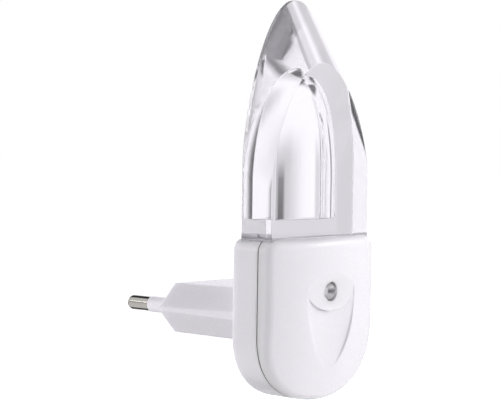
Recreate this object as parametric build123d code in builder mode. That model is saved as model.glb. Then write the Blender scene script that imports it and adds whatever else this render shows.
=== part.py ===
"""Plug-in night light: Europlug body, two-part housing and clear light guide.

Millimetres, +Z up, +Y into the wall. The origin is the centre of the plug's contact
face, between its two pins. A depth is a distance from that face into the room (-Y).
"""
from build123d import *
from math import atan, cos, radians, sin, tan
import os

os.makedirs("parts", exist_ok=True)

# ---------------------------------------------------------------- driving dimensions
# contact pins: they lean together a little, as on every flat Europlug
pin_diameter = 4.0
pin_length = 19.0
pin_pitch = 18.6
pin_tip_pitch = 17.5
pin_tip_round = 1.5
pin_core_diameter = 3.0
pin_root_diameter = 3.4
pin_root_length = 7.0
pin_tag_diameter = 2.0
pin_tag_length = 2.0
sleeve_length = 10.4
sleeve_entry = 1.5
sleeve_diameter = 4.34

# plug body: eight-sided, a little larger where it meets the housing
plug_length = 30.2
plug_flat = 22.5
plug_height = 13.4
plug_edge = 0.85
plug_root_flat = 23.3
plug_root_height = 14.1
plug_root_edge = 2.1
plug_end_wall = 2.6
plug_cavity_edge = 0.6
plug_end_round = 0.4
pin_boss_diameter = 7.4

# housing: straight sides, square top with rounded corners, full round bottom
housing_width = 42.8
housing_top = 21.2
housing_bottom = 22.3
housing_spring_z = -4.9
housing_corner = 3.6
side_fullness = 0.545
bottom_fullness = 0.66
rear_depth = 9.0
rear_draft = 1.2
rear_round = 0.6
wall = 1.7
seam_gap = 0.2
tongue_height = 1.2
tongue_inset = 0.9

# front cover: straight rim, then a shallow crown
cover_rim = 3.8
crown_rise = 4.2
rim_round = 2.7

# recess in the cover: a shallow sensor dish and the shield-shaped scoop under its ridge
sensor_z = 6.9
recess_width = 18.9
dish_top_z = 13.4
dish_depth = 1.0
dish_lower_slope = 0.38
ridge_z = 1.8
ridge_corner_z = 6.8
ridge_shoulder = 0.8
scoop_tip_z = -13.6
scoop_depth = 1.6
scoop_radius = 63.0
scoop_side_reach = 10.0
scoop_tip_fullness = 4.4

# light guide
guide_width = 39.0
guide_thickness = 10.6
guide_setback = 1.4
guide_height = 62.6
guide_face_height = 46.0
guide_edge_land = 0.95
guide_foot = 7.0
arch_spring = 0.285
arch_bulge = 0.58
arch_shoulder = 0.52
niche_radius = 13.1
niche_axis_offset = 5.25
niche_floor = 4.6
niche_straight = 15.8
niche_height = 44.3
niche_shoulder = 0.66

# fastening
screw_x = 9.0
screw_z = -13.0
screw_diameter = 2.2
screw_head_diameter = 4.0
screw_head_height = 1.5
screw_length = 8.0
screw_recess = 2.0
boss_diameter = 6.4
boss_height = 2.0
post_diameter = 5.2
guide_peg_diameter = 3.0
guide_peg_inset = 4.0
guide_peg_rise = 3.4
shelf_thickness = 1.2
shelf_gap = 0.8
cross_length = 2.4
cross_width = 0.6
cross_depth = 0.7

# circuit board and what it carries
board_thickness = 1.2
board_standoff = 1.9
board_top = 11.6
board_bottom = -8.6
board_clearance = 0.5
standoff_diameter = 3.6
nib_diameter = 1.6
nib_height = 0.8
standoff_upper_margin = 4.0
standoff_lower_margin = 3.8
standoff_upper_z = 8.4
standoff_lower_z = -5.6
leg_diameter = 0.5
leg_stub = 0.7
leg_root = 0.5
leg_bend = 0.6
dome_share = 0.96
led_diameter = 3.0
led_flange_diameter = 3.8
led_flange_height = 1.0
led_length = 5.3
led_x = 9.0
led_leg_pitch = 1.6
led_leg_drop = 1.6
led_holder_wall = 1.9
led_holder_depth = 3.8
led_holder_round = 0.5
led_pocket_depth = 0.7
sensor_diameter = 5.0
sensor_flange_diameter = 5.8
sensor_flange_height = 1.0
sensor_proud = 0.9
sensor_leg_pitch = 2.54
shroud_diameter = 7.0
shroud_seat = 3.5
shroud_leg_bore = 4.0
dropper_size = (13.2, 6.0, 11.0)
dropper_spot = (-3.0, 0.0)
dropper_leg_pitch = 10.0
dropper_round = 0.6
electrolytic_diameter = 6.3
electrolytic_length = 9.5
electrolytic_spot = (8.2, 0.0)
electrolytic_leg_pitch = 2.5
electrolytic_round = 0.5
electrolytic_groove_rise = 1.2
electrolytic_groove_width = 0.6
electrolytic_groove_depth = 0.3
lead_diameter = 1.3
lead_offset = 1.6
lead_tail = 3.0
bridge_size = (6.4, 4.8, 2.4)
bridge_spot = (7.4, -5.0)
bridge_leg_pitch = (5.0, 3.8)
bridge_chamfer = 0.3
transistor_diameter = 4.6
transistor_height = 4.6
transistor_flat = 1.4
transistor_spot = (0.0, -4.2)
transistor_leg_pitch = 1.27
fusible_length = 8.0
fusible_diameter = 3.0
fusible_span = 11.6
fusible_margin = 7.8
fusible_z = 4.4
bleed_length = 6.2
bleed_diameter = 2.3
bleed_span = 9.6
bleed_margin = 8.4
bleed_z = 4.4
base_length = 3.6
base_diameter = 1.8
base_span = 6.6
base_margin = 10.6
base_z = -4.6
resistor_waist = 0.88
resistor_cap = 0.24
resistor_round = 0.2

# fits
slide_clearance = 0.08
bore_clearance = 0.05
leg_clearance = 0.1
screw_clearance = 0.2
root_overlap = 0.2
overshoot = 1.0

# ---------------------------------------------------------------- derived sizes
housing_radius = housing_width / 2
seam_depth = plug_length + rear_depth
cover_back = seam_depth + seam_gap
rim_depth = seam_depth + cover_rim
crown_depth = rim_depth + crown_rise
crown_radius = (housing_radius**2 + crown_rise**2) / (2 * crown_rise)
crown_centre = crown_radius - crown_depth
back_inner = plug_length + wall
guide_back = plug_length + guide_setback
guide_front = guide_back + guide_thickness
guide_bottom = housing_top - guide_foot
guide_peg_x = guide_width / 2 - guide_peg_inset
board_back = back_inner + board_standoff
board_front = board_back + board_thickness
board_half = housing_radius - wall - board_clearance
lead_board_x = plug_flat / 2 + lead_offset
led_holder_width = 2 * (led_x + led_diameter / 2 + led_holder_wall)
led_depth = board_front + led_flange_diameter / 2
led_top = guide_bottom + led_pocket_depth - slide_clearance * 3
led_bottom = led_top - led_length
dish_floor = crown_depth - dish_depth
boss_depth = back_inner + boss_height
pin_lean = atan((pin_pitch - pin_tip_pitch) / 2 / pin_length)


# ---------------------------------------------------------------- planes and helpers
def facing_plane(depth, x=0.0, z=0.0):
    """Plane parallel to the wall at a depth, looking into the room: local axes X and Z."""
    return Plane(origin=(x, -depth, z), x_dir=(1, 0, 0), z_dir=(0, -1, 0))


def level_plane(z, x=0.0, depth=0.0):
    """Horizontal plane at a height: local axes X and Y."""
    return Plane(origin=(x, -depth, z), x_dir=(1, 0, 0), z_dir=(0, 0, 1))


def pin_plane(side, along=0.0):
    """Plane square to a leaning pin's axis, a distance along it from the contact face."""
    lean_x = -side * sin(pin_lean)
    origin = (side * pin_pitch / 2 + along * lean_x, along * cos(pin_lean), 0)
    return Plane(origin=origin, x_dir=(0, 0, 1), z_dir=(lean_x, cos(pin_lean), 0))


def disc(plane, diameter, length, mode=Mode.ADD):
    """Round bar from a plane along its normal."""
    with BuildSketch(plane) as profile:
        Circle(diameter / 2)
    extrude(profile.sketch, amount=length, mode=mode)


def block(plane, width, height, length, mode=Mode.ADD):
    """Rectangular bar from a plane along its normal."""
    with BuildSketch(plane) as profile:
        Rectangle(width, height)
    extrude(profile.sketch, amount=length, mode=mode)


def wire(points, diameter, bend):
    """Round wire along straight runs joined by arcs of one bend radius."""
    with BuildLine() as route:
        FilletPolyline(*points, radius=bend)
    start = Plane(origin=route.line @ 0, z_dir=route.line % 0)
    with BuildSketch(start) as profile:
        Circle(diameter / 2)
    sweep(profile.sketch, path=route.line)


def export(piece, name):
    """Label a finished piece and write its STEP file."""
    piece.part.label = name
    export_step(piece.part, f"parts/{name}.step")


# ---------------------------------------------------------------- outlines
def plug_section(flat, height, edge, inset=0.0):
    """Plug outline: flat top and bottom, 45 degree slants and narrow side flats."""
    half_height = height / 2 - inset
    half_flat = flat / 2 - inset * tan(radians(22.5))
    half_width = half_flat + half_height - edge / 2
    quarter = [(half_width, edge / 2), (half_flat, half_height)]
    upper = quarter + [(-x, z) for x, z in reversed(quarter)]
    lower = [(x, -z) for x, z in reversed(upper)]
    with BuildLine() as outline:
        Polyline(*upper, *lower, close=True)
    make_face(outline.edges())


def housing_outline(inset=0.0):
    """Housing outline: straight sides, rounded top corners, full round bottom."""
    half = housing_radius - inset
    top = housing_top - inset
    bottom = inset - housing_bottom
    side = housing_spring_z - side_fullness * (housing_bottom + housing_spring_z)
    with BuildLine() as outline:
        Polyline((-half, housing_spring_z), (-half, top), (half, top), (half, housing_spring_z))
        for end in (-half, half):
            Bezier((end, housing_spring_z), (end, side), (bottom_fullness * end, bottom),
                   (0, bottom))
    make_face(outline.edges())
    fillet(vertices().group_by(Axis.Y)[-1], housing_corner - inset)


def build_crown(inset):
    """Drum over the upper half and half a ball below it, which bound the cover in front."""
    radius = crown_radius - inset
    with BuildPart() as crown:
        with BuildSketch(level_plane(0, 0, -crown_centre)) as ring:
            Circle(radius)
        extrude(ring.sketch, amount=housing_top + overshoot)
        with Locations((0, crown_centre, 0)):
            Sphere(radius, arc_size1=-90, arc_size2=0,
                   align=(Align.CENTER, Align.CENTER, Align.MAX))
    return crown


def crowned_body(back, crown, inset=0.0):
    """Housing outline extruded forward, bounded by a crown, with a rounded rim."""
    with BuildSketch(facing_plane(back)) as outline:
        housing_outline(inset)
    extrude(outline.sketch, amount=crown_depth - back)
    add(crown.part, mode=Mode.INTERSECT)
    rim = edges().filter_by(lambda e: e.bounding_box().max.Y < -back - overshoot / 2)
    rim = rim.filter_by(lambda e: abs(e.center().Z) > 0.01 or e.bounding_box().size.Z > 0.01)
    fillet(rim, rim_round - inset)


def arch_outline(height):
    """Flame outline of the guide, from its foot's underside to a rounded tip."""
    half = guide_width / 2
    spring = arch_spring * height
    bulge = arch_bulge * height
    shoulder = arch_shoulder * half
    with BuildLine() as outline:
        Polyline((-half, spring), (-half, -guide_foot), (half, -guide_foot), (half, spring))
        Bezier((half, spring), (half, bulge), (shoulder, height), (0, height))
        Bezier((0, height), (-shoulder, height), (-half, bulge), (-half, spring))
    make_face(outline.edges())


# ---------------------------------------------------------------- board leg positions
def pair(spot, pitch):
    """Two leg positions side by side, centred on a spot."""
    return [(spot[0] - pitch / 2, spot[1]), (spot[0] + pitch / 2, spot[1])]


resistors = {
    "fusible_resistor": ((board_half - fusible_margin, fusible_z), fusible_length,
                         fusible_diameter, fusible_span),
    "bleed_resistor": ((bleed_margin - board_half, bleed_z), bleed_length,
                       bleed_diameter, bleed_span),
    "base_resistor": ((base_margin - board_half, base_z), base_length,
                      base_diameter, base_span),
}
standoff_spots = [(side * (board_half - margin), z) for side in (-1, 1)
                  for margin, z in ((standoff_upper_margin, standoff_upper_z),
                                    (standoff_lower_margin, standoff_lower_z))]
bridge_legs = [(bridge_spot[0] + sx * bridge_leg_pitch[0] / 2,
                bridge_spot[1] + sz * bridge_leg_pitch[1] / 2)
               for sx in (-1, 1) for sz in (-1, 1)]
transistor_legs = [(transistor_spot[0] + step * transistor_leg_pitch, transistor_spot[1])
                   for step in (-1, 0, 1)]
led_legs = [spot for side in (-1, 1)
            for spot in pair((side * led_x, led_bottom - led_leg_drop), led_leg_pitch)]
leg_spots = (bridge_legs + transistor_legs + led_legs
             + pair((0, sensor_z), sensor_leg_pitch)
             + pair(dropper_spot, dropper_leg_pitch)
             + pair(electrolytic_spot, electrolytic_leg_pitch))
for spot, _, _, span in resistors.values():
    leg_spots += pair(spot, span)

# ---------------------------------------------------------------- rear shell
with BuildPart() as rear_shell:
    with BuildSketch(facing_plane(plug_length)):
        housing_outline(rear_depth * tan(radians(rear_draft)))
    with BuildSketch(facing_plane(seam_depth)):
        housing_outline()
    loft(ruled=True)
    fillet(faces().sort_by(Axis.Y)[-1].edges(), rear_round)

    # plug body, rounded at its contact face
    with BuildSketch(facing_plane(0)):
        plug_section(plug_flat, plug_height, plug_edge)
    with BuildSketch(facing_plane(back_inner)):
        plug_section(plug_root_flat, plug_root_height, plug_root_edge)
    loft(ruled=True)
    fillet(faces().sort_by(Axis.Y)[-1].edges(), plug_end_round)

    # tongue that enters the front cover
    with BuildSketch(facing_plane(seam_depth)):
        housing_outline(tongue_inset + bore_clearance)
    extrude(amount=seam_gap + tongue_height)

    # hollows of the housing and the plug body
    with BuildSketch(facing_plane(back_inner)):
        housing_outline(wall)
    extrude(amount=rear_depth + tongue_height, mode=Mode.SUBTRACT)
    with BuildSketch(facing_plane(plug_end_wall)):
        plug_section(plug_flat, plug_height, plug_cavity_edge, wall)
    with BuildSketch(facing_plane(back_inner + overshoot)):
        plug_section(plug_root_flat, plug_root_height, plug_cavity_edge, wall)
    loft(ruled=True, mode=Mode.SUBTRACT)

    # bosses round the pins, each along its leaning axis
    for side in (-1, 1):
        disc(pin_plane(side, -pin_root_length), pin_boss_diameter,
             pin_root_length - plug_end_wall / 2)
    for side in (-1, 1):
        bore = pin_root_diameter + 2 * bore_clearance
        disc(pin_plane(side, -pin_root_length - overshoot), bore,
             pin_root_length + overshoot, Mode.SUBTRACT)
        seat = sleeve_diameter + 2 * leg_clearance
        disc(pin_plane(side, -sleeve_entry), seat, sleeve_entry + overshoot, Mode.SUBTRACT)

    # standoffs with nibs for the circuit board
    for x, z in standoff_spots:
        disc(facing_plane(back_inner - root_overlap, x, z), standoff_diameter,
             board_standoff + root_overlap)
        disc(facing_plane(board_back, x, z), nib_diameter, board_thickness + nib_height)

    # shelves under the light guide's foot and the pegs that lock it
    for side in (-1, 1):
        shelf_start = led_holder_width / 2 + shelf_gap
        shelf_end = housing_radius - wall + root_overlap
        shelf_x = side * (shelf_start + shelf_end) / 2
        shelf_z = guide_bottom - slide_clearance - shelf_thickness / 2
        shelf = facing_plane(back_inner - root_overlap, shelf_x, shelf_z)
        block(shelf, shelf_end - shelf_start, shelf_thickness,
              rear_depth - wall + root_overlap)

    # slot for the light guide
    slot = level_plane(guide_bottom - slide_clearance, 0, guide_back - slide_clearance)
    with BuildSketch(slot):
        slot_depth = seam_depth + seam_gap + tongue_height + overshoot - guide_back
        with Locations((0, -slot_depth / 2)):
            Rectangle(guide_width + 2 * slide_clearance, slot_depth)
    extrude(amount=guide_foot + overshoot, mode=Mode.SUBTRACT)
    for side in (-1, 1):
        peg = facing_plane(plug_length + wall / 2, side * guide_peg_x,
                           guide_bottom + guide_peg_rise)
        disc(peg, guide_peg_diameter, rear_depth - wall / 2)

    # screw bosses with recessed heads
    for side in (-1, 1):
        disc(facing_plane(back_inner - root_overlap, side * screw_x, screw_z), boss_diameter,
             boss_height + root_overlap)
    for side in (-1, 1):
        hole = screw_diameter + 2 * screw_clearance
        head = screw_head_diameter + 2 * screw_clearance
        outside = facing_plane(plug_length - overshoot, side * screw_x, screw_z)
        disc(outside, hole, wall + boss_height + 2 * overshoot, Mode.SUBTRACT)
        disc(outside, head, screw_recess + overshoot, Mode.SUBTRACT)
export(rear_shell, "rear_shell")

# ---------------------------------------------------------------- front cover
def dish(grow=0.0):
    """Shallow sensor dish: blends in at its top and turns out to the ridge at its foot."""
    top = (-crown_depth, dish_top_z + grow)
    floor = (-crown_depth + dish_depth + grow, sensor_z)
    foot = (-crown_depth, ridge_z - grow)
    with BuildSketch(Plane.YZ.offset(-recess_width / 2 - grow)) as profile:
        with BuildLine() as outline:
            Spline(top, floor, foot, tangents=((0, -1), (-dish_lower_slope, -1)))
            Polyline(foot, (foot[0] - overshoot, foot[1]), (top[0] - overshoot, top[1]), top)
        make_face(outline.edges())
    extrude(profile.sketch, amount=recess_width + 2 * grow)


def scoop(grow=0.0):
    """Shield under the ridge: upright walls round a floor on a large upright drum."""
    half = recess_width / 2 + grow
    tip = scoop_tip_z - grow
    ridge_pull = ridge_z + grow - (ridge_corner_z - ridge_z) / 3
    floor_depth = crown_depth - scoop_depth - grow
    with BuildSketch(facing_plane(floor_depth - scoop_depth)) as shield:
        with BuildLine() as outline:
            Bezier((-half, ridge_corner_z), (-ridge_shoulder * half, ridge_pull),
                   (ridge_shoulder * half, ridge_pull), (half, ridge_corner_z))
            for end in (-1, 1):
                Bezier((end * half, ridge_corner_z),
                       (end * half, ridge_corner_z - scoop_side_reach),
                       (end * scoop_tip_fullness, tip), (0, tip))
        make_face(outline.edges())
    extrude(shield.sketch, amount=3 * scoop_depth)
    with BuildSketch(level_plane(tip - overshoot, 0, floor_depth + scoop_radius)) as drum:
        Circle(scoop_radius)
    extrude(drum.sketch, amount=ridge_corner_z - tip + 2 * overshoot, mode=Mode.INTERSECT)


with BuildPart() as dish_tool:
    dish()
with BuildPart() as dish_backing:
    dish(wall)
with BuildPart() as scoop_tool:
    scoop()
with BuildPart() as scoop_backing:
    scoop(wall)

# the cover's hollow, with the dish, the scoop and the screw posts left standing in it
with BuildPart() as cover_cavity:
    crowned_body(cover_back - overshoot, build_crown(wall), wall)
    add(dish_backing.part, mode=Mode.SUBTRACT)
    add(scoop_backing.part, mode=Mode.SUBTRACT)
    for side in (-1, 1):
        disc(facing_plane(boss_depth, side * screw_x, screw_z), post_diameter,
             crown_depth - boss_depth, Mode.SUBTRACT)

# ring that cuts the tongue's groove into the cover's rim
with BuildPart() as groove_ring:
    with BuildSketch(facing_plane(cover_back - overshoot)):
        housing_outline(tongue_inset)
    extrude(amount=tongue_height + overshoot)
    with BuildSketch(facing_plane(cover_back - overshoot)):
        housing_outline(wall)
    extrude(amount=tongue_height + overshoot, mode=Mode.SUBTRACT)

with BuildPart() as front_cover:
    crowned_body(cover_back, build_crown(0))
    for side in (-1, 1):
        disc(facing_plane(boss_depth, side * screw_x, screw_z), post_diameter,
             cover_back - boss_depth + overshoot)
    add(dish_tool.part, mode=Mode.SUBTRACT)
    add(scoop_tool.part, mode=Mode.SUBTRACT)
    add(cover_cavity.part, mode=Mode.SUBTRACT)

    # groove for the rear shell's tongue
    add(groove_ring.part, mode=Mode.SUBTRACT)

    # pilot holes for the screws
    for side in (-1, 1):
        pilot = screw_diameter + 2 * bore_clearance
        disc(facing_plane(boss_depth - overshoot, side * screw_x, screw_z), pilot,
             screw_length, Mode.SUBTRACT)

    # slot for the light guide and hole for the sensor
    with BuildSketch(level_plane(guide_bottom - slide_clearance)):
        with Locations((0, -(guide_back + guide_front + slide_clearance) / 2)):
            Rectangle(guide_width + 2 * slide_clearance, guide_thickness + slide_clearance)
    extrude(amount=guide_foot + overshoot, mode=Mode.SUBTRACT)
    disc(facing_plane(board_front, 0, sensor_z), sensor_diameter + 2 * bore_clearance,
         crown_depth - board_front, Mode.SUBTRACT)
export(front_cover, "front_cover")

# ---------------------------------------------------------------- light guide
with BuildPart() as light_guide:
    with BuildSketch(facing_plane(guide_back + guide_edge_land, 0, housing_top)):
        arch_outline(guide_height)
    with BuildSketch(facing_plane(guide_front, 0, housing_top)):
        arch_outline(guide_face_height)
    loft(ruled=True)
    with BuildSketch(facing_plane(guide_back, 0, housing_top)):
        arch_outline(guide_height)
    extrude(amount=guide_edge_land)

    # bullet niche, turned about an upright axis behind the back face
    niche_base = housing_top + niche_floor
    niche_spring = housing_top + niche_straight
    niche_crown = housing_top + niche_height
    niche_axis = -guide_back + niche_axis_offset
    with BuildSketch(Plane(origin=(0, niche_axis, 0), x_dir=(0, -1, 0), z_dir=(-1, 0, 0))):
        with BuildLine():
            Polyline((0, niche_crown), (0, niche_base), (niche_radius, niche_base),
                     (niche_radius, niche_spring))
            Bezier((niche_radius, niche_spring), (niche_radius, niche_spring + niche_straight),
                   (niche_shoulder * niche_radius, niche_crown), (0, niche_crown))
        make_face()
    revolve(axis=Axis((0, niche_axis, 0), (0, 0, 1)), mode=Mode.SUBTRACT)

    # holes for the shell's pegs and pockets for the LED domes
    for side in (-1, 1):
        peg = facing_plane(guide_back - overshoot, side * guide_peg_x,
                           guide_bottom + guide_peg_rise)
        disc(peg, guide_peg_diameter + 2 * bore_clearance,
             guide_thickness + 2 * overshoot, Mode.SUBTRACT)
        pocket = level_plane(guide_bottom - overshoot, side * led_x, led_depth)
        disc(pocket, led_diameter + 4 * leg_clearance, led_pocket_depth + overshoot,
             Mode.SUBTRACT)
export(light_guide, "light_guide")


# ---------------------------------------------------------------- pins and sleeves
def build_pin(side):
    """Contact pin: bare end, thinner core under the sleeve, root and solder tag."""
    with BuildPart() as pin:
        disc(pin_plane(side, sleeve_length), pin_diameter, pin_length - sleeve_length)
        fillet(faces().sort_by(Axis.Y)[-1].edges(), pin_tip_round)
        disc(pin_plane(side, -sleeve_entry), pin_core_diameter, sleeve_length + sleeve_entry)
        disc(pin_plane(side, -pin_root_length), pin_root_diameter,
             pin_root_length - sleeve_entry)
        tag_start = -pin_root_length - pin_tag_length
        disc(pin_plane(side, tag_start), pin_tag_diameter, pin_tag_length)
    return pin


def build_sleeve(side):
    """Insulating sleeve from its seat in the plug's face to the pin's bare end."""
    with BuildPart() as sleeve:
        bore = pin_core_diameter + 2 * bore_clearance
        for width, mode in ((sleeve_diameter, Mode.ADD), (bore, Mode.SUBTRACT)):
            disc(pin_plane(side, -sleeve_entry), width, sleeve_length + sleeve_entry, mode)
    return sleeve


for side, name in ((-1, "left"), (1, "right")):
    export(build_pin(side), f"{name}_pin")
    export(build_sleeve(side), f"{name}_pin_sleeve")

# ---------------------------------------------------------------- circuit board
with BuildPart() as circuit_board:
    with BuildSketch(facing_plane(board_back)):
        Circle(board_half)
        with Locations((0, (board_top + board_bottom) / 2)):
            Rectangle(2 * board_half, board_top - board_bottom, mode=Mode.INTERSECT)
        with Locations(*standoff_spots):
            Circle(nib_diameter / 2 + leg_clearance, mode=Mode.SUBTRACT)
        with Locations(*leg_spots):
            Circle(leg_diameter / 2 + leg_clearance, mode=Mode.SUBTRACT)
        for side in (-1, 1):
            with Locations((side * lead_board_x, 0)):
                Circle(lead_diameter / 2 + leg_clearance, mode=Mode.SUBTRACT)
    extrude(amount=board_thickness)
export(circuit_board, "circuit_board")


# ---------------------------------------------------------------- LEDs and their holder
def build_led(side):
    """3 mm LED lying on the board and looking up, with its legs bent into the board."""
    with BuildPart() as led:
        x = side * led_x
        disc(level_plane(led_bottom, x, led_depth), led_flange_diameter, led_flange_height)
        disc(level_plane(led_bottom, x, led_depth), led_diameter, led_length)
        fillet(faces().sort_by(Axis.Z)[-1].edges(), led_diameter / 2 * dome_share)
        for leg_x, leg_z in pair((x, led_bottom - led_leg_drop), led_leg_pitch):
            wire([(leg_x, -led_depth, led_bottom + root_overlap), (leg_x, -led_depth, leg_z),
                  (leg_x, -board_back + leg_stub, leg_z)], leg_diameter, leg_bend)
    return led


for side, name in ((-1, "left"), (1, "right")):
    export(build_led(side), f"{name}_led")

with BuildPart() as led_holder:
    holder_bottom = led_bottom + led_flange_height
    holder_height = guide_bottom - slide_clearance - holder_bottom
    holder_base = facing_plane(board_front, 0, holder_bottom + holder_height / 2)
    block(holder_base, led_holder_width, holder_height, led_holder_depth)
    fillet(edges().filter_by(Axis.Y), led_holder_round)
    for side in (-1, 1):
        bore = level_plane(holder_bottom - overshoot, side * led_x, led_depth)
        disc(bore, led_diameter + 2 * bore_clearance, holder_height + 2 * overshoot,
             Mode.SUBTRACT)
    disc(facing_plane(board_front - overshoot, 0, sensor_z),
         shroud_diameter + 4 * bore_clearance, led_holder_depth + 2 * overshoot, Mode.SUBTRACT)
export(led_holder, "led_holder")

# ---------------------------------------------------------------- light sensor
sensor_seat = board_front + shroud_seat
sensor_length = dish_floor + sensor_proud - sensor_seat
with BuildPart() as light_sensor:
    seat = facing_plane(sensor_seat, 0, sensor_z)
    disc(seat, sensor_diameter, sensor_length)
    fillet(faces().sort_by(Axis.Y)[0].edges(), sensor_diameter / 2 * dome_share)
    disc(seat, sensor_flange_diameter, sensor_flange_height)
    for leg_x, leg_z in pair((0, sensor_z), sensor_leg_pitch):
        leg_length = sensor_seat - board_back + leg_stub + root_overlap
        disc(facing_plane(board_back - leg_stub, leg_x, leg_z), leg_diameter, leg_length)
export(light_sensor, "light_sensor")

with BuildPart() as sensor_shroud:
    shroud_length = dish_floor - wall - slide_clearance - board_front
    base = facing_plane(board_front, 0, sensor_z)
    disc(base, shroud_diameter, shroud_length)
    disc(base, shroud_leg_bore, shroud_length, Mode.SUBTRACT)
    disc(facing_plane(sensor_seat, 0, sensor_z), sensor_flange_diameter + 2 * bore_clearance,
         shroud_length, Mode.SUBTRACT)
export(sensor_shroud, "sensor_shroud")

# ---------------------------------------------------------------- parts on the board's back
with BuildPart() as dropper_capacitor:
    width, height, length = dropper_size
    back_plane = Plane(origin=(dropper_spot[0], -board_back, dropper_spot[1]),
                       x_dir=(-1, 0, 0), z_dir=(0, 1, 0))
    block(back_plane, width, height, length)
    fillet(edges().filter_by(Axis.Y), dropper_round)
    for leg_x, leg_z in pair(dropper_spot, dropper_leg_pitch):
        disc(facing_plane(board_back - leg_root, leg_x, leg_z), leg_diameter,
             board_thickness + leg_stub + leg_root)
export(dropper_capacitor, "dropper_capacitor")

with BuildPart() as smoothing_capacitor:
    can = Plane(origin=(electrolytic_spot[0], -board_back, electrolytic_spot[1]),
                z_dir=(0, 1, 0))
    disc(can, electrolytic_diameter, electrolytic_length)
    fillet(faces().sort_by(Axis.Y)[-1].edges(), electrolytic_round)
    # rolled groove near the sealed end
    with BuildSketch(can.offset(electrolytic_groove_rise)):
        Circle(electrolytic_diameter)
        Circle(electrolytic_diameter / 2 - electrolytic_groove_depth, mode=Mode.SUBTRACT)
    extrude(amount=electrolytic_groove_width, mode=Mode.SUBTRACT)
    for leg_x, leg_z in pair(electrolytic_spot, electrolytic_leg_pitch):
        disc(facing_plane(board_back - leg_root, leg_x, leg_z), leg_diameter,
             board_thickness + leg_stub + leg_root)
export(smoothing_capacitor, "smoothing_capacitor")


# ---------------------------------------------------------------- parts on the board's front
def build_resistor(spot, length, diameter, span):
    """Axial resistor lying on the board: capped body and two legs bent through the board."""
    with BuildPart() as resistor:
        axis_depth = board_front + diameter / 2
        middle = Plane(origin=(spot[0] - length / 2, -axis_depth, spot[1]), z_dir=(1, 0, 0))
        disc(middle, diameter * resistor_waist, length)
        cap = resistor_cap * length
        disc(middle, diameter, cap)
        disc(middle.offset(length - cap), diameter, cap)
        for end in (0, -1):
            cap_face = faces().filter_by(Axis.X).group_by(Axis.X)[end]
            fillet(cap_face.edges(), resistor_round * diameter)
        for side in (-1, 1):
            leg_x = spot[0] + side * span / 2
            wire([(spot[0] + side * (length / 2 - leg_root), -axis_depth, spot[1]),
                  (leg_x, -axis_depth, spot[1]),
                  (leg_x, -board_back + leg_stub, spot[1])], leg_diameter, leg_bend)
    return resistor


for name, (spot, length, diameter, span) in resistors.items():
    export(build_resistor(spot, length, diameter, span), name)

with BuildPart() as bridge_rectifier:
    width, height, thickness = bridge_size
    body = facing_plane(board_front, *bridge_spot)
    block(body, width, height, thickness)
    chamfer(faces().sort_by(Axis.Y)[0].edges(), bridge_chamfer)
    for leg_x, leg_z in bridge_legs:
        disc(facing_plane(board_back - leg_stub, leg_x, leg_z), leg_diameter,
             board_thickness + leg_stub + leg_root)
export(bridge_rectifier, "bridge_rectifier")

with BuildPart() as transistor:
    with BuildSketch(facing_plane(board_front, *transistor_spot)):
        Circle(transistor_diameter / 2)
        with Locations((0, -transistor_diameter / 2)):
            Rectangle(transistor_diameter, 2 * (transistor_diameter / 2 - transistor_flat),
                      mode=Mode.SUBTRACT)
    extrude(amount=transistor_height)
    for leg_x, leg_z in transistor_legs:
        disc(facing_plane(board_back - leg_stub, leg_x, leg_z), leg_diameter,
             board_thickness + leg_stub + leg_root)
export(transistor, "transistor")


# ---------------------------------------------------------------- leads and screws
def build_lead(side):
    """Insulated lead from a pin's solder tag back to the board."""
    with BuildPart() as lead:
        tag_end = pin_plane(side, -pin_root_length - pin_tag_length).origin
        turn = (side * lead_board_x, (tag_end.Y - board_back) / 2, 0)
        wire([tuple(tag_end), (tag_end.X, tag_end.Y - lead_tail, 0), turn,
              (side * lead_board_x, -board_front, 0)], lead_diameter, 2 * lead_diameter)
    return lead


for side, name in ((-1, "left"), (1, "right")):
    export(build_lead(side), f"{name}_lead")

with BuildPart() as housing_screws:
    for side in (-1, 1):
        head_depth = plug_length + screw_recess - screw_head_height
        disc(facing_plane(head_depth, side * screw_x, screw_z), screw_head_diameter,
             screw_head_height)
        disc(facing_plane(head_depth, side * screw_x, screw_z), screw_diameter, screw_length)
        # cross recess
        for slot_size in ((cross_length, cross_width), (cross_width, cross_length)):
            block(facing_plane(head_depth, side * screw_x, screw_z), *slot_size,
                  cross_depth, Mode.SUBTRACT)
export(housing_screws, "housing_screws")
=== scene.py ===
"""Plug-in night light: materials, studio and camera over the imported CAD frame."""
from math import cos, pi, radians, sin

import bmesh
import bpy
from mathutils import Matrix, Vector


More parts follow.
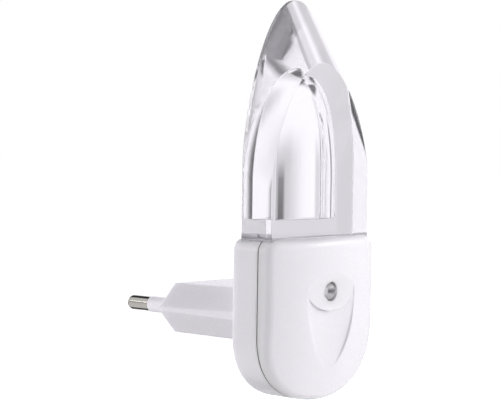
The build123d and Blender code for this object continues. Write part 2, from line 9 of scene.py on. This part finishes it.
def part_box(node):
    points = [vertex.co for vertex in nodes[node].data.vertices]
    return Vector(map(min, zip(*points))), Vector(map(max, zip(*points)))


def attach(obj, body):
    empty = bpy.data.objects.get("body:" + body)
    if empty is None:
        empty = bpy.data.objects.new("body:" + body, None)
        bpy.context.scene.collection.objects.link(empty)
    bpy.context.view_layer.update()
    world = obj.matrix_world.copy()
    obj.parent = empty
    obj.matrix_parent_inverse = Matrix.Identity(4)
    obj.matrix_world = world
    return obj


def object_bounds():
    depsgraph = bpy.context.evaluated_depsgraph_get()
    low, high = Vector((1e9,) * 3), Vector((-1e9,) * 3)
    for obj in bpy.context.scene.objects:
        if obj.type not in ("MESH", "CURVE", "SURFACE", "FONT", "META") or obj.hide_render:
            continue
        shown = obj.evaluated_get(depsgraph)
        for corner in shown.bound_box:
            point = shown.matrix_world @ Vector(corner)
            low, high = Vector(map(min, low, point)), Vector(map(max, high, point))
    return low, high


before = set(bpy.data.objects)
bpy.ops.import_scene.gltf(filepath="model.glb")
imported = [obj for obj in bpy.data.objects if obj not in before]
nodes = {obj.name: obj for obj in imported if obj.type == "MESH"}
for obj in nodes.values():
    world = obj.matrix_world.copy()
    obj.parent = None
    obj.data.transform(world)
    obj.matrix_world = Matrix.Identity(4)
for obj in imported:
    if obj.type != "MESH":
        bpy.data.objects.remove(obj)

cad_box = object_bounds()
MM = 0.001

# ---------------------------------------------------------------- sizes on the object
TONGUE = 1.4 * MM            # how far the rear shell's tongue stands past its rim
SEAM_EDGE = 0.01 * MM        # the seam's painted shade starts this far behind the rim
SEAM_BLEND = 0.02 * MM       # and fades over this
# colour of the painted shade that stands in for the shadow deep in the seam
PAINTED_SEAM_SHADE = (0.012, 0.012, 0.014)
FOOT_DROP = 1.6 * MM         # the guide is milky from this far under the front cover's top
FOOT_BLEND = 0.3 * MM        # and the change takes this
CLEAR, MILKY = 0.97, 0.05    # how much light clear and milky plastic let through
DOME_RADIUS = 2.5 * MM       # the dusk sensor's clear dome

# ---------------------------------------------------------------- camera
HEADING = radians(48.167)    # the camera looks this far round from +Y towards +X
TILT = radians(3.228)        # and this far down
ROLL = radians(0.853)
DISTANCE = 0.77160
AIM = Vector((-0.009405, -0.025446, 0.030445))
LENS = 208.27                # on a 36 mm wide sensor

# ---------------------------------------------------------------- studio
LAMP_DISTANCE = 0.9
FLOOR_SIZE = 6
FLOOR_DROP = 0.12            # floor below the object, which is held by its pins
FLOOR_FILL = 0.90            # what brings the floor to white where the camera sees it
FLOOR_GLOW = 0.07            # and what it sends up to matt faces
AMBIENT = 0.27               # the studio's light on matt faces
TENT = 1.0                   # white walls of the light tent, as glass and gloss show them
TENT_TINT = (1.03, 1.0, 1.06)
BEHIND = 0.97                # how much darker the tent's open side behind the camera is
BEHIND_TURN = (180, 55, 27)  # that side's middle, half width and soft edge, in degrees
BEHIND_RISE = (0, 34, 12)    # and the same for its height
GAP_EDGES = (0.45, 0.4)      # soft edges of a gap, as shares of its half width and half height
GAPS = (
    # Darker gaps between the tent's panels, set for this view, in degrees:
    # turn to the right of it, half width, rise, half height; then how dark, 1 being black.
    (-48, 11, -16, 8, 0.97),
    (-34, 4.5, -7, 5, 0.85),
    (-37, 18, -6, 8, 0.40),
    (33, 6, -5, 14, 0.75),
    (24, 9, -19, 12, 0.3),
    (3.5, 5, -7, 9, 0.34),
    (-5, 12, -18, 9, 0.42),
    (14, 9, 21, 12, 0.3),
    (38, 26, 58, 14, 0.95),
    (-28, 24, 41, 15, 0.97),
    (-26, 24, -47, 15, 0.93),
    (48, 18, -53, 14, 0.4),
    (-98, 9, 10, 9, 0.6),
)


# ---------------------------------------------------------------- node helpers
class Nodes:
    """Adds and links the nodes of one material or world."""

    def __init__(self, tree):
        self.tree = tree

    def add(self, kind, **settings):
        node = self.tree.nodes.new(kind)
        for key, value in settings.items():
            setattr(node, key, value)
        return node

    def link(self, output, target):
        self.tree.links.new(output, target)


def material(name, colour, roughness, **sockets):
    """Material with a Principled shader; constants go straight on its sockets."""
    mat = bpy.data.materials.new(name)
    mat.use_nodes = True
    shader = mat.node_tree.nodes["Principled BSDF"]
    shader.inputs["Base Color"].default_value = (*colour, 1)
    shader.inputs["Roughness"].default_value = roughness
    for socket, value in sockets.items():
        shader.inputs[socket.replace("_", " ")].default_value = value
    return mat, Nodes(mat.node_tree), shader


def along(graph, axis, kind="Object"):
    """One axis of the object's own coordinates, or of another kind."""
    place = graph.add("ShaderNodeTexCoord")
    parts = graph.add("ShaderNodeSeparateXYZ")
    graph.link(place.outputs[kind], parts.inputs["Vector"])
    return parts.outputs[axis]


def noise(graph, size, detail=3.0, stretch=(1, 1, 1)):
    """Noise over the object's own coordinates, with features of a size in metres."""
    place = graph.add("ShaderNodeTexCoord")
    scale = graph.add("ShaderNodeMapping")
    scale.inputs["Scale"].default_value = [1 / (size * s) for s in stretch]
    texture = graph.add("ShaderNodeTexNoise")
    texture.inputs["Scale"].default_value = 1
    texture.inputs["Detail"].default_value = detail
    graph.link(place.outputs["Object"], scale.inputs["Vector"])
    graph.link(scale.outputs["Vector"], texture.inputs["Vector"])
    return texture.outputs["Fac"]


def ranged(graph, source, low, high, start=0.3, stop=0.7, **settings):
    """Maps a range of a source, as set the middle of a noise, onto a range of numbers."""
    node = graph.add("ShaderNodeMapRange", **settings)
    for socket, value in zip(("From Min", "From Max", "To Min", "To Max"),
                             (start, stop, low, high)):
        node.inputs[socket].default_value = value
    graph.link(source, node.inputs["Value"])
    return node.outputs["Result"]


def tinted(graph, source, dark, light, start=0.3, stop=0.7):
    """Colour ramp between two colours."""
    ramp = graph.add("ShaderNodeValToRGB")
    ramp.color_ramp.elements[0].position = start
    ramp.color_ramp.elements[1].position = stop
    ramp.color_ramp.elements[0].color = (*dark, 1)
    ramp.color_ramp.elements[1].color = (*light, 1)
    graph.link(source, ramp.inputs["Fac"])
    return ramp.outputs["Color"]


def mixed(graph, factor, *colours):
    """Mix of two colours, each given as numbers or as a node's output."""
    node = graph.add("ShaderNodeMix", data_type="RGBA")
    graph.link(factor, node.inputs[0])
    for socket, colour in zip((node.inputs[6], node.inputs[7]), colours):
        if isinstance(colour, tuple):
            socket.default_value = (*colour, 1)
        else:
            graph.link(colour, socket)
    return node.outputs[2]


def bumped(graph, source, height, shader, after=None):
    """Bump of a height in metres from a texture, stacked on another bump."""
    bump = graph.add("ShaderNodeBump")
    bump.inputs["Strength"].default_value = 1
    bump.inputs["Distance"].default_value = height
    graph.link(source, bump.inputs["Height"])
    if after:
        graph.link(after, bump.inputs["Normal"])
    graph.link(bump.outputs["Normal"], shader.inputs["Normal"])
    return bump.outputs["Normal"]


def soft_edge(graph, radius):
    """Normal that rounds the edges by a radius."""
    soft = graph.add("ShaderNodeBevel", samples=8)
    soft.inputs["Radius"].default_value = radius
    return soft.outputs["Normal"]


def calc(graph, operation, *values):
    """Math node over numbers and node outputs."""
    node = graph.add("ShaderNodeMath", operation=operation)
    for socket, value in zip(node.inputs, values):
        if isinstance(value, (int, float)):
            socket.default_value = value
        else:
            graph.link(value, socket)
    return node.outputs["Value"]


def window(graph, source, centre, half, soft):
    """One near the centre of a range, falling smoothly to nothing at its ends."""
    away = calc(graph, "ABSOLUTE", calc(graph, "SUBTRACT", source, centre))
    return ranged(graph, away, 1, 0, half - soft, half + soft, interpolation_type="SMOOTHSTEP")


# ---------------------------------------------------------------- materials
def moulded_plastic(name, dark, light, roughness=(0.25, 0.28), wave=0.0015 * MM,
                    grain=0.0003 * MM, edge=0.6 * MM, glow=1.0, seam=None):
    """Glossy moulded plastic: faint flow tone, slow waviness, fine grain and soft edges, with
    painted shade in the seam when a seam plane is given.
    """
    mat, graph, shader = material(name, light, roughness[0], IOR=1.49, Subsurface_Weight=glow,
                                  Subsurface_Radius=(1.0, 0.98, 1.02), Subsurface_Scale=2 * MM)
    flow = noise(graph, 14 * MM, detail=1, stretch=(1, 1, 1.6))
    fine = noise(graph, 0.35 * MM)
    tone = tinted(graph, flow, dark, light, 0.1, 0.9)
    # painted shade deep in the seam, standing in for the shadow between shell and cover
    if seam is not None:
        tone = painted_seam_shade(graph, tone, seam)
    graph.link(tone, shader.inputs["Base Color"])
    graph.link(ranged(graph, fine, *roughness), shader.inputs["Roughness"])
    slow = bumped(graph, noise(graph, 5 * MM, detail=1), wave, shader, soft_edge(graph, edge))
    bumped(graph, fine, grain, shader, slow)
    return mat


def painted_seam_shade(graph, tone, plane):
    """Painted shade: darkens the tongue and rim deep in the housing's seam, on the -Y side of a
    plane, standing in for the shadow between the parts.
    """
    inside = ranged(graph, along(graph, "Y"), 1, 0, plane, plane + SEAM_BLEND)
    return mixed(graph, inside, tone, PAINTED_SEAM_SHADE)


def clear_plastic(name, tint, ior=1.49, roughness=(0.0, 0.02), foot=None):
    """Clear moulded plastic with a faint polish pattern, and a milky foot if it has one."""
    mat, graph, shader = material(name, tint, roughness[0], IOR=ior, Transmission_Weight=CLEAR)
    polish = noise(graph, 3 * MM)
    graph.link(ranged(graph, polish, *roughness), shader.inputs["Roughness"])
    bumped(graph, noise(graph, 9 * MM, detail=1), 0.002 * MM, shader,
           soft_edge(graph, 0.35 * MM))
    if foot is not None:
        milky_foot(graph, shader, tint, foot)
    return mat


def milky_foot(graph, shader, tint, top):
    """Turns a clear part milky below a height, where it sits in its socket."""
    height = along(graph, "Z")
    passing = ranged(graph, height, MILKY, CLEAR, top - FOOT_BLEND, top)
    graph.link(passing, shader.inputs["Transmission Weight"])
    cast = tinted(graph, noise(graph, 3 * MM, detail=2, stretch=(1, 1, 4)),
                  (0.95, 0.94, 0.97), (1.0, 0.99, 1.0), 0.4, 0.6)
    below = ranged(graph, height, 1, 0, top - FOOT_BLEND, top)
    graph.link(mixed(graph, below, tint, cast), shader.inputs["Base Color"])


def drawn_metal(name, dark, light, roughness, grain_axis):
    """Plated or drawn metal with streaks along one axis."""
    mat, graph, shader = material(name, light, roughness[0], Metallic=1)
    streaks = noise(graph, 0.12 * MM, stretch=grain_axis)
    graph.link(tinted(graph, streaks, dark, light), shader.inputs["Base Color"])
    graph.link(ranged(graph, streaks, *roughness), shader.inputs["Roughness"])
    bumped(graph, streaks, 0.001 * MM, shader)
    return mat


def speckled(name, dark, light, size, roughness, height=0.004 * MM):
    """Matt body of an electronic part, with a fine speckle."""
    mat, graph, shader = material(name, light, roughness)
    speckle = noise(graph, size)
    graph.link(tinted(graph, speckle, dark, light), shader.inputs["Base Color"])
    graph.link(ranged(graph, speckle, roughness, roughness + 0.12), shader.inputs["Roughness"])
    bumped(graph, speckle, height, shader)
    return mat


housing_tones = (0.870, 0.848, 0.902), (0.878, 0.856, 0.910)
housing = moulded_plastic("housing_white", *housing_tones)
tongue_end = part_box("rear_shell")[0].y
# the rear shell's white carries painted shade deep in its seam
housing_rear_painted_shade = moulded_plastic("housing_rear_white", *housing_tones,
                               seam=tongue_end + TONGUE + SEAM_EDGE)
sleeve = moulded_plastic("sleeve_white", (0.88, 0.86, 0.91), (0.91, 0.89, 0.94), (0.35, 0.45),
                         glow=0.0)
cover_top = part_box("front_cover")[1].z
acrylic = clear_plastic("clear_acrylic", (0.985, 0.983, 0.99), foot=cover_top - FOOT_DROP)
lens = clear_plastic("clear_lens", (0.97, 0.975, 0.98), 1.54)
nickel = drawn_metal("nickel_plate", (0.40, 0.395, 0.35), (0.50, 0.495, 0.45), (0.08, 0.14),
                     (1, 30, 1))
silver = drawn_metal("silver_plate", (0.86, 0.86, 0.85), (0.95, 0.95, 0.94), (0.4, 0.5),
                     (1, 1, 1))
steel = drawn_metal("zinc_steel", (0.5, 0.5, 0.5), (0.66, 0.66, 0.67), (0.25, 0.4), (1, 1, 1))
board = speckled("solder_mask", (0.03, 0.13, 0.05), (0.05, 0.19, 0.07), 0.5 * MM, 0.35)
black = speckled("black_mould", (0.01, 0.01, 0.01), (0.03, 0.03, 0.03), 0.2 * MM, 0.5)
white_inner = speckled("white_inner", (0.78, 0.78, 0.76), (0.85, 0.85, 0.83), 1 * MM, 0.5)
film_yellow = speckled("film_yellow", (0.55, 0.36, 0.03), (0.66, 0.44, 0.05), 0.8 * MM, 0.35)
can_sleeve = speckled("can_sleeve", (0.02, 0.03, 0.06), (0.03, 0.04, 0.09), 0.6 * MM, 0.3)
lacquer = speckled("lacquer_blue", (0.13, 0.27, 0.33), (0.18, 0.34, 0.40), 0.7 * MM, 0.3)
lead_blue = speckled("lead_blue", (0.01, 0.05, 0.28), (0.02, 0.07, 0.36), 0.6 * MM, 0.45)

dressing = {
    "rear_shell": housing_rear_painted_shade, "front_cover": housing,
    "light_guide": acrylic, "light_sensor": lens, "left_led": lens, "right_led": lens,
    "left_pin": nickel, "right_pin": nickel,
    "left_pin_sleeve": sleeve, "right_pin_sleeve": sleeve,
    "sensor_shroud": black, "circuit_board": board, "led_holder": white_inner,
    "dropper_capacitor": film_yellow, "smoothing_capacitor": can_sleeve,
    "bridge_rectifier": black, "transistor": black,
    "fusible_resistor": lacquer, "bleed_resistor": lacquer, "base_resistor": lacquer,
    "left_lead": lead_blue, "right_lead": lead_blue, "housing_screws": steel,
}
for name, mat in dressing.items():
    mesh = nodes[name].data
    mesh.materials.clear()
    mesh.materials.append(mat)


# ---------------------------------------------------------------- inside the sensor's dome
def lead_frame(name, tip, radius):
    """Plated lead frame in the clear dome: a post with a round cup, and a second post.

    Sizes and depths behind the dome's tip are shares of the dome's radius.
    """
    cup_wall, cup_rim = 0.44, 0.68
    post_radius, post_offset, post_end = 0.16, 0.45, 2.6
    mesh = bmesh.new()

    def ring(size, back, sides=24, shift=0.0):
        turns = [2 * pi * k / sides for k in range(sides)]
        return [mesh.verts.new((tip.x + radius * (shift + size * cos(turn)),
                                tip.y + radius * back,
                                tip.z + radius * size * sin(turn))) for turn in turns]

    def skin(loops, first, last):
        for one, two in zip(loops, loops[1:]):
            for k in range(len(one)):
                after = (k + 1) % len(one)
                mesh.faces.new((one[k], one[after], two[after], two[k]))
        mesh.faces.new(last)
        mesh.faces.new(first)

    cup = [ring(cup_rim, 0.72), ring(cup_rim + 0.03, 0.68), ring(cup_rim + 0.08, 0.72),
           ring(cup_wall, 1.9)]
    floor = ring(0.55 * cup_wall, 1.05)
    skin([floor] + cup, floor, cup[-1])
    for side, start in ((-1, 1.9), (1, 1.5)):
        post = [ring(post_radius, depth, 12, side * post_offset) for depth in (start, post_end)]
        skin(post, *post)
    bmesh.ops.recalc_face_normals(mesh, faces=mesh.faces)
    data = bpy.data.meshes.new(name)
    mesh.to_mesh(data)
    mesh.free()
    piece = bpy.data.objects.new(name, data)
    bpy.context.scene.collection.objects.link(piece)
    data.materials.append(silver)
    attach(piece, "root")
    return piece


sensor_low, sensor_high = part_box("light_sensor")
lead_frame("sensor_lead_frame", Vector((0, sensor_low.y, (sensor_low.z + sensor_high.z) / 2)),
           DOME_RADIUS)


# ---------------------------------------------------------------- camera
level_right = Vector((cos(HEADING), -sin(HEADING), 0))
level_ahead = Vector((sin(HEADING), cos(HEADING), 0))
forward = cos(TILT) * level_ahead - Vector((0, 0, sin(TILT)))
right = cos(ROLL) * level_right + sin(ROLL) * level_right.cross(forward)
up = right.cross(forward)

camera = bpy.data.objects.new("camera", bpy.data.cameras.new("camera"))
bpy.context.scene.collection.objects.link(camera)
camera.matrix_world = Matrix((right, up, -forward)).transposed().to_4x4()
camera.location = AIM - DISTANCE * forward
camera.data.sensor_width = 36
camera.data.lens = LENS
camera.data.clip_start = 0.05
camera.data.clip_end = 50
bpy.context.scene.camera = camera


# ---------------------------------------------------------------- lamps
def softbox(name, direction, size, watts):
    """Area lamp of a width and height that faces the object from a direction."""
    lamp = bpy.data.lights.new(name, "AREA")
    lamp.shape = "RECTANGLE"
    lamp.size, lamp.size_y = size
    lamp.energy = watts
    holder = bpy.data.objects.new(name, lamp)
    bpy.context.scene.collection.objects.link(holder)
    away = Vector(direction).normalized()
    holder.location = AIM + away * LAMP_DISTANCE
    holder.rotation_euler = away.to_track_quat("Z", "Y").to_euler()
    holder.visible_glossy = False            # glass and gloss show the tent instead
    holder.visible_transmission = False
    return holder


softbox("left_box", (-0.78, 0.63, 0.03), (0.8, 0.8), 7.0)
softbox("right_box", (0.34, -0.93, 0.2), (0.8, 0.8), 7.1)
softbox("top_box", (0.68, 0.35, 0.65), (0.6, 0.6), 5.6)
for strip in (softbox("left_strip", (-0.698, 0.666, 0.254), (0.22, 0.10), 0.36),
              softbox("front_strip", (0.743, -0.5, 0.45), (0.5, 0.12), 1.6)):
    strip.visible_glossy = True              # narrow lamps that light nothing and only gloss shows
    strip.visible_diffuse = False


# ---------------------------------------------------------------- tent and floor
def build_world():
    """Light tent: white to the camera, with soft darker gaps that glass and gloss show."""
    world = bpy.data.worlds.new("studio")
    bpy.context.scene.world = world
    world.use_nodes = True
    graph = Nodes(world.node_tree)
    background = world.node_tree.nodes["Background"]
    place = graph.add("ShaderNodeTexCoord")
    sides = []
    for axis in (level_right, level_ahead):
        part = graph.add("ShaderNodeVectorMath", operation="DOT_PRODUCT")
        part.inputs[1].default_value = axis
        graph.link(place.outputs["Generated"], part.inputs[0])
        sides.append(part.outputs["Value"])
    turn = calc(graph, "MULTIPLY", calc(graph, "ARCTAN2", *sides), 180 / pi)
    height = along(graph, "Z", "Generated")
    rise = calc(graph, "MULTIPLY", calc(graph, "ARCSINE", height), 180 / pi)

    tent = TENT
    for turn_at, turn_half, rise_at, rise_half, depth in GAPS:
        across = window(graph, turn, turn_at, turn_half, GAP_EDGES[0] * turn_half)
        upright = window(graph, rise, rise_at, rise_half, GAP_EDGES[1] * rise_half)
        dark = calc(graph, "MULTIPLY", calc(graph, "MULTIPLY", across, upright), depth)
        tent = calc(graph, "MULTIPLY", tent, calc(graph, "SUBTRACT", 1, dark))

    rays = graph.add("ShaderNodeLightPath")
    matt = calc(graph, "MULTIPLY", rays.outputs["Is Diffuse Ray"], AMBIENT)
    shiny = calc(graph, "SUBTRACT", 1, rays.outputs["Is Diffuse Ray"])
    indirect = calc(graph, "ADD", matt, calc(graph, "MULTIPLY", shiny, tent))
    behind = calc(graph, "MULTIPLY",
                  window(graph, calc(graph, "ABSOLUTE", turn), *BEHIND_TURN),
                  window(graph, rise, *BEHIND_RISE))
    open_side = calc(graph, "SUBTRACT", 1, calc(graph, "MULTIPLY", behind, BEHIND))
    indirect = calc(graph, "MULTIPLY", indirect, open_side)
    seen = rays.outputs["Is Camera Ray"]
    graph.link(calc(graph, "MAXIMUM", seen, indirect), background.inputs["Strength"])
    graph.link(mixed(graph, seen, TENT_TINT, (1, 1, 1)), background.inputs["Color"])


def build_floor():
    """Pale floor, filled to white where the camera sees it, that gloss and glass leave out."""
    bpy.ops.mesh.primitive_plane_add(size=FLOOR_SIZE,
                                     location=(0, 0, cad_box[0].z - FLOOR_DROP))
    floor = bpy.context.object
    floor.name = "floor"
    mat, graph, shader = material("floor_white", (0.6, 0.6, 0.6), 0.9)
    shader.inputs["Emission Color"].default_value = (1, 1, 1, 1)
    rays = graph.add("ShaderNodeLightPath")
    fill = calc(graph, "ADD",
                calc(graph, "MULTIPLY", rays.outputs["Is Camera Ray"], FLOOR_FILL),
                calc(graph, "MULTIPLY", rays.outputs["Is Diffuse Ray"], FLOOR_GLOW))
    graph.link(fill, shader.inputs["Emission Strength"])
    shown = graph.add("ShaderNodeMixShader")
    graph.link(calc(graph, "MAXIMUM", rays.outputs["Is Glossy Ray"],
                    rays.outputs["Is Transmission Ray"]), shown.inputs["Fac"])
    graph.link(shader.outputs["BSDF"], shown.inputs[1])
    graph.link(graph.add("ShaderNodeBsdfTransparent").outputs["BSDF"], shown.inputs[2])
    graph.link(shown.outputs["Shader"], mat.node_tree.nodes["Material Output"].inputs["Surface"])
    floor.data.materials.append(mat)


build_world()
build_floor()

scene = bpy.context.scene
scene.view_settings.view_transform = "Standard"
scene.cycles.max_bounces = 20                # light runs far inside the clear guide
scene.cycles.glossy_bounces = 16
scene.cycles.transmission_bounces = 16
